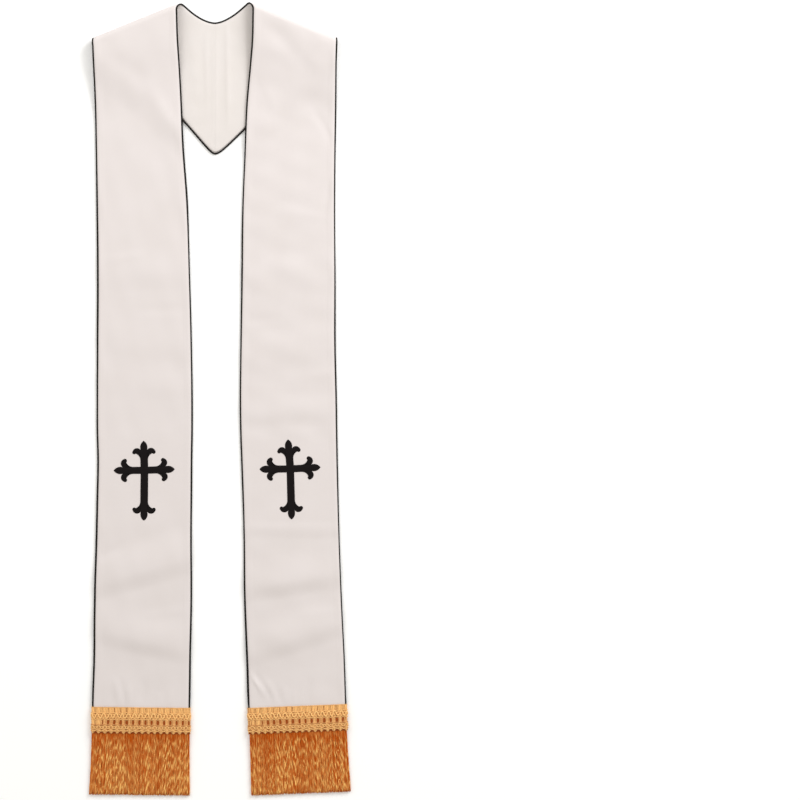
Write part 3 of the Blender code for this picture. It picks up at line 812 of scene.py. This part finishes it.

# Header braid
# A gold gimp braid is wrapped round each hem. Upright yarns carry it, and plied cords snake along it in two
# bands. Between the bands the yarns draw together in bundles with slots between, over a ground painted dark
# as the shade in the slots.

BRAID_RADIUS = 3.2
UNDERSIDE_FLAT = 0.74
GROUND_FROM = 0.8
GROUND_TO = 43.0
GROUND_RADIUS = 2.15
GROUND_WALL = 0.25
# Painted shade: the ground is given nearly the darkest tone, for the shade seen through the slots.
GROUND_SHADE_TONE = 0.04
END_DRAWN_IN = 0.4
YARN_RADIUS = 2.62
YARN_HALF = 0.62
YARN_PITCH = 1.26
YARN_RINGS = 13
BUNDLE_PITCH = 10.1
BUNDLE_CROWN = 0.3
SLOT_BAND = (20.9, 28.4)
SLOT_PINCH = 0.32
SEWN_OVER = 15.0
YARNS_END = 38.8
TOOTH_LENGTH = 4.7
TOOTH_PINCH = 0.36
BRAID_CORDS = (
    # down from the braid's top, sway, waves a bundle, phase, half thickness, stands out, tone
    (0.9, 0.3, 3, 0.0, 0.6, 2.75, 0.72),
    (9.6, 0.5, 2, 0.5, 0.75, 3.0, 0.88),
    (14.3, 3.5, 1, 0.0, 1.1, 3.2, 1.0),
    (14.9, 3.1, 1, 0.48, 0.85, 2.9, 0.82),
    (19.8, 0.5, 2, 0.2, 0.75, 3.05, 0.9),
    (29.4, 0.45, 2, 0.6, 0.75, 3.0, 0.42),
    (33.1, 2.5, 1, 0.25, 1.05, 3.15, 0.8),
    (34.2, 2.5, 1, 0.75, 1.0, 2.95, 0.7),
    (38.3, 0.8, 1, 0.1, 0.9, 3.05, 0.84),
)
CORD_SIDES = 6
RINGS_A_BUNDLE = 20
OVER_AND_UNDER = 0.35
SPACING = 1000.0


def hem_frame(side):
    """The neck-side corner of the hem, the way across it, the way down from it, and its width."""
    ends = strip(side, both_edges, 0.0, FINE_STEPS)[0][-1]
    width = float(np.linalg.norm(ends[1] - ends[0]))
    across = (ends[1] - ends[0]) / width
    return ends[0], across, side * np.cross(across, (0.0, 0.0, 1.0)), width


def at_hem(hem, x, y, z):
    """Places told by the way across the hem, down from it and up from its middle, in the frame."""
    corner, across, down, _ = hem
    up = np.array((0.0, 0.0, 1.0))
    return in_frame(corner + x[..., None] * across + y[..., None] * down + z[..., None] * up)


def round_hem(width, far, radius):
    """The way across and the height at a distance round the flat ring of the braid, flatter underneath."""
    reach = (radius + GROUND_RADIUS) / 2 - END_DRAWN_IN
    bend = math.pi * BRAID_RADIUS
    far = np.mod(far, 2 * width + 2 * bend)
    on_end = (far >= width) & (far < width + bend)
    on_back = (far >= width + bend) & (far < 2 * width + bend)
    on_start = far >= 2 * width + bend
    turned = np.where(on_start, far - 2 * width - bend, 0.0)
    turn = np.where(on_end, far - width, turned) / bend * math.pi
    x = np.where(on_end, width + reach * np.sin(turn), far)
    x = np.where(on_back, 2 * width + bend - far, x)
    x = np.where(on_start, -reach * np.sin(turn), x)
    z = np.where(on_end, radius * np.cos(turn), radius)
    z = np.where(on_back, -radius, z)
    z = np.where(on_start, -radius * np.cos(turn), z)
    return x, np.where(z < 0, z * UNDERSIDE_FLAT, z)


def yarn_tube(sides, rings):
    """A closed tube of unit radius, a ring at each whole height, as the pattern for many yarns."""
    tube = bmesh.new()
    bmesh.ops.create_cone(tube, cap_ends=True, segments=sides, radius1=1.0, radius2=1.0, depth=rings - 1.0)
    bmesh.ops.translate(tube, verts=tube.verts, vec=(0.0, 0.0, (rings - 1) / 2))
    for ring in range(1, rings - 1):
        cut = list(tube.verts) + list(tube.edges) + list(tube.faces)
        bmesh.ops.bisect_plane(tube, geom=cut, plane_co=(0, 0, ring), plane_no=(0, 0, 1))
    return tube


def repeated(name, pattern, count):
    """Copies of a pattern in one mesh, the number of each point's copy, and its place in the pattern."""
    mesh = bpy.data.meshes.new(name)
    pattern.to_mesh(mesh)
    pattern.free()
    row = bpy.data.objects.new(name, mesh)
    bpy.context.scene.collection.objects.link(row)
    many = row.modifiers.new("many", "ARRAY")
    many.count = count
    many.use_relative_offset = False
    many.use_constant_offset = True
    many.constant_offset_displace = (SPACING, 0.0, 0.0)
    arrayed = row.evaluated_get(bpy.context.evaluated_depsgraph_get())
    joined = bpy.data.meshes.new_from_object(arrayed)
    bpy.data.objects.remove(row)
    bpy.data.meshes.remove(mesh)
    places = np.empty(len(joined.vertices) * 3, np.float32)
    joined.vertices.foreach_get("co", places)
    places = places.reshape(-1, 3).astype(float)
    copy = np.round(places[:, 0] / SPACING).astype(int)
    places[:, 0] -= copy * SPACING
    return joined, copy, places


def keep_tone(mesh, tone_and_painted_light):
    """Keeps how light the yarn is painted at each point, from 0 to 1, painted highlights and shade
    included.
    """
    layer = mesh.attributes.new("tone_and_painted_light", "FLOAT", "POINT")
    layer.data.foreach_set("value", np.clip(tone_and_painted_light, 0.0, 1.0).astype(np.float32))


def set_points(mesh, points, tone_and_painted_light):
    """Moves a mesh's points into place and keeps the tone of each."""
    mesh.vertices.foreach_set("co", points.reshape(-1).astype(np.float32))
    keep_tone(mesh, tone_and_painted_light)
    mesh.shade_smooth()
    mesh.update()


def yarn_material(name, dark, light, roughness, gloss, filament):
    """Shiny rayon yarn: dark to light by its tone, which holds painted highlights and shade as well as the
    yarn's own tone, with filaments and the twist of its plies.
    """
    material, nodes, links, shader = new_material(name, light, roughness)
    shader.inputs["Metallic"].default_value = gloss
    shader.inputs["Specular IOR Level"].default_value = 0.35
    shader.inputs["Specular Tint"].default_value = (1.0, 0.62, 0.25, 1.0)
    tone_and_painted_light = nodes.new("ShaderNodeAttribute")
    tone_and_painted_light.attribute_name = "tone_and_painted_light"
    place = nodes.new("ShaderNodeTexCoord")
    noise = noise_texture(nodes, links, scaled(nodes, links, place.outputs["Object"], filament))
    mixed = nodes.new("ShaderNodeMath")
    mixed.operation = "MULTIPLY_ADD"
    links.new(noise, mixed.inputs[0])
    mixed.inputs[1].default_value = 0.4
    links.new(tone_and_painted_light.outputs["Fac"], mixed.inputs[2])
    shifted = nodes.new("ShaderNodeMath")
    shifted.operation = "SUBTRACT"
    links.new(mixed.outputs["Value"], shifted.inputs[0])
    shifted.inputs[1].default_value = 0.2
    tones = blended(nodes, links, shifted.outputs["Value"], dark, light)
    links.new(tones, shader.inputs["Base Color"])
    plies = nodes.new("ShaderNodeTexWave")
    plies.inputs["Scale"].default_value = 1.0
    twist = scaled(nodes, links, along_piece(nodes), (260.0, 260.0, 1.0), math.radians(40))
    links.new(twist, plies.inputs["Vector"])
    relief = bumped(nodes, links, noise, 0.00012, 0.6)
    links.new(bumped(nodes, links, plies.outputs["Fac"], 0.0003, 0.8, relief), shader.inputs["Normal"])
    return material


def toned_tube(name, rings, uv, tone_and_painted_light):
    """A closed tube of one tone."""
    mesh = closed_tube(name, rings, uv)
    keep_tone(mesh, np.full(len(mesh.vertices), tone_and_painted_light))
    return mesh


def braid_ground(hem, around, bundles):
    """The ground of the braid, painted dark as the shade seen in the slots: a thin closed band round the
    hem.
    """
    far = np.linspace(0.0, around, bundles * 6 + 1)[:, None]
    inner = GROUND_RADIUS - GROUND_WALL
    radius = np.array((GROUND_RADIUS, GROUND_RADIUS, GROUND_RADIUS, inner, inner, inner))[None, :]
    level = np.array((GROUND_FROM, 22.0, GROUND_TO, GROUND_TO, 22.0, GROUND_FROM))
    x, z = round_hem(hem[3], far, radius)
    rings = at_hem(hem, x, np.broadcast_to(level - BRAID_ABOVE_HEM, x.shape), z)
    return toned_tube("ground", rings, np.zeros((len(far), 7, 2)), GROUND_SHADE_TONE)


def braid_yarns(hem, pick, pitch, bundles, side):
    """The upright yarns, gathered into bundles at the slots, with teeth below and one end sewn over."""
    per_bundle = round(pitch / YARN_PITCH)
    number = np.arange(bundles * per_bundle)
    mesh, copy, local = repeated("yarns", yarn_tube(4, YARN_RINGS), len(number))
    in_bundle = (number % per_bundle + 0.5) / per_bundle - 0.5
    middle = (number // per_bundle + 0.5) * pitch
    tooth = TOOTH_LENGTH * np.cos(in_bundle * math.pi) ** 0.7
    length = YARNS_END + tooth + pick.normal(0.0, 0.25, len(number))
    share = local[:, 2] / (YARN_RINGS - 1)
    down = share * length[copy]
    from_end = np.minimum(middle, bundles * pitch - middle) if side > 0 else np.abs(hem[3] - middle)
    open_slots = eased((from_end - SEWN_OVER) / 3.0)[copy]
    in_slots = eased((down - SLOT_BAND[0] + 2) / 4) * eased((SLOT_BAND[1] + 2 - down) / 4) * open_slots
    slant = pick.normal(0.06, 0.1, bundles)[number // per_bundle][copy] * (down - sum(SLOT_BAND) / 2)
    pinch = 0.95 - SLOT_PINCH * in_slots - TOOTH_PINCH * eased((down - YARNS_END + 1.0) / 5.0)
    wander = 0.2 * np.sin(down / 3.1 + copy * 1.7)
    far = middle[copy] + in_bundle[copy] * pitch * pinch + wander + slant * in_slots
    body = YARN_HALF * (1.0 - 0.35 * eased((share - 0.93) / 0.07))
    crown = BUNDLE_CROWN * np.cos(in_bundle[copy] * math.pi)
    x, z = round_hem(hem[3], far + local[:, 0] * body, YARN_RADIUS + crown - 0.2 + local[:, 1] * 0.42)
    # Painted light in the tone: each bundle is lighter at its middle as a highlight and darker at its
    # sides. The yarns are darker in the slots and where they run under the cords as shade, and the teeth
    # below are lighter.
    tone_and_painted_light = 0.72 + 0.26 * np.cos(in_bundle[copy] * math.pi) + pick.normal(0.0, 0.12, len(number))[copy]
    shade_under_cords = eased((down - 9.0) / 2.0) * eased((21.0 - down) / 2.0) + eased((down - 29.0) / 2.0)
    tone_and_painted_light = tone_and_painted_light - 0.4 * in_slots - 0.3 * shade_under_cords + 0.44 * eased((down - YARNS_END) / 2.0)
    set_points(mesh, at_hem(hem, x, down - BRAID_ABOVE_HEM, z), tone_and_painted_light)
    return mesh


def braid_cord(hem, pick, around, bundles, row):
    """A plied cord all the way round the hem, which snakes and goes over and under the others."""
    level, sway, waves, phase, half, stands_out, tone_and_painted_light = row
    far = np.linspace(0.0, around, bundles * RINGS_A_BUNDLE + 1)
    uneven = pick.normal(0.0, 1.0, (3, bundles * 2))
    halfway = np.arange(bundles * 2 + 1)
    uneven = [np.interp(far / around * bundles * 2, halfway, (*line, line[0])) for line in uneven]
    turn = (far / around * bundles * waves + phase + 0.05 * uneven[0]) * math.tau
    snake = (np.sin(turn) + 0.12 * np.sin(3 * turn)) * (1 + 0.1 * uneven[1])
    level = level + 0.22 * uneven[2]
    over = stands_out + OVER_AND_UNDER * min(sway, 1.0) * np.sin(2 * turn)
    line = np.stack((*round_hem(hem[3], far, over), level + sway * snake), axis=1)
    outer = np.stack((*round_hem(hem[3], far, over + 1.0), level + sway * snake), axis=1)
    ahead = unit(np.gradient(np.concatenate((line[-2:-1], line, line[1:2])), axis=0)[1:-1])
    aside = unit(np.cross(ahead, outer - line))
    up = np.cross(aside, ahead)
    turns = np.linspace(0.0, math.tau, CORD_SIDES, endpoint=False)[None, :, None]
    rings = line[:, None] + half * (np.cos(turns) * aside[:, None] + np.sin(turns) * up[:, None])
    rings = at_hem(hem, rings[..., 0], rings[..., 2] - BRAID_ABOVE_HEM, rings[..., 1])
    wrapped = np.linspace(0.0, math.tau * half, CORD_SIDES + 1)
    uv = np.stack(np.broadcast_arrays(wrapped[None, :], length_along(line)[:, None]), axis=2) * MM
    return toned_tube("cord", rings, uv, tone_and_painted_light)


braid_material = yarn_material(
    "gold_braid_yarn", (0.30, 0.042, 0.002), (1.0, 0.60, 0.24), 0.4, 0.0, (900, 900, 900)
)
for side, half in ((-1, "left"), (1, "right")):
    hem = hem_frame(side)
    around = 2 * hem[3] + 2 * math.pi * BRAID_RADIUS
    bundles = round(around / BUNDLE_PITCH)
    pick = np.random.default_rng(80 + side)
    whole = bmesh.new()
    take_in(whole, braid_ground(hem, around, bundles))
    take_in(whole, braid_yarns(hem, pick, around / bundles, bundles, side))
    for row in BRAID_CORDS:
        take_in(whole, braid_cord(hem, pick, around, bundles, row))
    name = "braid_yarns_" + half
    add_piece(name, finished(name, whole), braid_material, "braid_" + half)

# Fringe
# Under the braid hangs a fringe of copper-gold rayon strands. They are cut level, but each is crinkled, and
# those of one lock bend together. The slanting flecks are painted highlights in the strands' tone, where a
# lock's crimp slants one way, and the strands are painted darker near the braid as shade.

STRAND_ROWS = 6
STRAND_PITCH = 1.2
STRAND_HALF = 0.68
STRAND_RINGS = 28
STRAND_FROM = 2.0
STRAND_LENGTH = 108.0
STRAND_LIES = 0.8
ROW_RISE = 0.52
ROOT_ROOM = 1.5
LOCK_PITCH = 2.1
LOCK_PLACES = 100
FRINGE_SPREAD = {
    # side: first and last root past the corners of the hem, and how far each leans further at the tip
    -1: (-0.8, 0.8, 0.6, 1.3),
    1: (0.0, -0.2, -1.9, 0.6),
}

fringe_material = yarn_material(
    "copper_fringe_yarn", (0.51, 0.082, 0.002), (1.0, 0.56, 0.17), 0.35, 0.05, (500, 40, 500)
)
for side, half in ((-1, "left"), (1, "right")):
    hem = hem_frame(side)
    width = hem[3]
    pick = np.random.default_rng(100 + side)
    per_row = round((width + 2.0) / STRAND_PITCH)
    count = per_row * STRAND_ROWS
    mesh, copy, local = repeated("fringe_strands_" + half, yarn_tube(3, STRAND_RINGS), count)
    number = np.arange(count)
    row = number // per_row
    hang = row / (STRAND_ROWS - 1)
    first, last, first_lean, last_lean = FRINGE_SPREAD[side]
    in_row = number % per_row + 0.5 + pick.normal(0.0, 0.25, count)
    root = first + in_row / per_row * (width + last - first)
    lock = np.floor((root + 4.0 + row * 0.9) / LOCK_PITCH).astype(int) + row * LOCK_PLACES
    places = LOCK_PLACES * STRAND_ROWS
    lock_size = pick.uniform(0.25, 0.95, places)[lock]
    lock_pitch = pick.uniform(15.0, 34.0, places)[lock]
    lock_phase = pick.uniform(0, math.tau, places)[lock] + pick.normal(0.0, 0.4, count)
    # How strong the painted highlights of each lock are.
    lock_highlight = pick.uniform(0.2, 1.1, places)[lock]
    lock_lean = np.where(pick.uniform(0, 1, places) < 0.7, 1.0, -1.0)[lock]
    sway = np.sin(root / width * 8.0 + side) * 1.5 + pick.normal(0.0, 0.8, places)[lock]
    sway += pick.normal(0.0, 0.4, count)
    length = STRAND_LENGTH + pick.uniform(-1.5, 1.0, count) - 1.2 * (row == 0)
    share = local[:, 2] / (STRAND_RINGS - 1)
    along = share * length[copy]
    turn = along / lock_pitch[copy] * math.tau + lock_phase[copy]
    from_side = np.minimum(root - first, width + last - root)[copy]
    crimp = lock_size[copy] * np.sin(turn) * eased(share / 0.22) * (0.25 + 0.75 * eased(from_side / 6.0))
    lean = first_lean + root / width * (last_lean - first_lean)
    x = root[copy] + (sway + lean)[copy] * share**1.5 + crimp
    lies = STRAND_LIES - HEM_LEVEL + row * ROW_RISE
    held = 1 - eased(share / 0.45)
    z = lies[copy] + ((hang - 0.5) * 2 * ROOT_ROOM - lies)[copy] * held
    z = z + 0.3 * np.cos(turn) * (row[copy] > 0) * eased(share / 0.3)
    body = STRAND_HALF * (1.0 - 0.3 * eased((share - 0.9) / 0.1))
    # Painted highlights: the tone is raised in slanting flecks where a lock's crimp slants one way, with
    # more of them lower down.
    painted_highlight = np.clip(np.cos(turn) * lock_lean[copy], 0.0, 1.0) ** 2 * lock_highlight[copy]
    patch = 0.75 + 0.25 * np.sin(x / 17.0 + along / 31.0 + 2.0 * side) + 0.3 * share
    # Painted shade: the tone is lower near the braid and rises towards the tips. It is also darker at the
    # cut ends.
    tone_and_painted_light = 0.11 + 0.12 * share + pick.normal(0.0, 0.12, count)[copy]
    tone_and_painted_light = tone_and_painted_light + 1.1 * painted_highlight * patch * eased(share / 0.25)
    tone_and_painted_light = tone_and_painted_light - 0.08 * (1 - eased((share - 0.1) / 0.2)) - 0.12 * eased((share - 0.97) / 0.03)
    z = np.maximum(z - local[:, 1] * body, 0.12 - HEM_LEVEL)
    set_points(mesh, at_hem(hem, x - local[:, 0] * body, STRAND_FROM + along, z), tone_and_painted_light)
    add_piece("fringe_strands_" + half, mesh, fringe_material, "fringe_" + half)

# Cut strips
# Each half is cut once in face cloth and once in lining: a strip with an angled end for the centre-back
# seam. The face strip of each half is laid out once more here, and nothing further is done with it.

for side, half in ((-1, "left"), (1, "right")):
    points, _ = strip(side, face_shares, FACE_INSET, FINE_STEPS)

# Floor, light and camera
# The stole lies on a plain pale floor under a broad soft light from the upper right. The camera looks
# straight down from high above, off to one side, so the stole stands left of the middle.

DROP_SCALE = 1.634
PICTURE_SIDE = 800
CENTRE_LINE_COLUMN = 215.1
TOP_ROW = 0.7
CAMERA_HEIGHT = 5.2

bpy.ops.mesh.primitive_plane_add(size=14.0, location=(0.0, 0.0, -0.0004))
floor = bpy.context.object
floor.name = "floor"
floor_material, nodes, links, shader = new_material("pale_floor", (0.965, 0.97, 0.985), 0.9)
place = nodes.new("ShaderNodeTexCoord")
noise = noise_texture(nodes, links, place.outputs["Object"], 3.0)
tones = blended(nodes, links, noise, (0.96, 0.965, 0.98), (0.97, 0.975, 0.99))
links.new(tones, shader.inputs["Base Color"])
shader.inputs["Specular IOR Level"].default_value = 0.1
floor.data.materials.append(floor_material)

world = bpy.data.worlds.new("studio")
bpy.context.scene.world = world
world.use_nodes = True
world.node_tree.nodes["Background"].inputs["Color"].default_value = (1.0, 0.965, 0.90, 1.0)
world.node_tree.nodes["Background"].inputs["Strength"].default_value = 0.761


def soft_light(name, place, size, power, colour):
    """A square area light that faces the middle of the stole."""
    light = bpy.data.lights.new(name, "AREA")
    light.color = colour
    light.size = size
    light.energy = power
    lamp = bpy.data.objects.new(name, light)
    lamp.location = place
    across, along, height = place
    lamp.rotation_euler = (math.atan2(math.hypot(across, along), height), 0.0, math.atan2(across, -along))
    bpy.context.scene.collection.objects.link(lamp)


soft_light("key", (1.9, 2.0, 1.6), 1.5, 66.0, (0.97, 0.99, 1.0))
soft_light("fill", (-1.6, 1.5, 2.0), 2.0, 20.5, (0.97, 0.99, 1.0))

camera_data = bpy.data.cameras.new("camera")
picture_width = PICTURE_SIDE * DROP_SCALE * MM
camera_data.lens = camera_data.sensor_width * CAMERA_HEIGHT / picture_width
camera = bpy.data.objects.new("camera", camera_data)
camera.location = (
    centre_x + (PICTURE_SIDE / 2 - CENTRE_LINE_COLUMN) * DROP_SCALE * MM,
    top_y - (PICTURE_SIDE / 2 - TOP_ROW) * DROP_SCALE * MM,
    CAMERA_HEIGHT,
)
bpy.context.scene.collection.objects.link(camera)
bpy.context.scene.camera = camera
bpy.context.scene.view_settings.view_transform = "Standard"
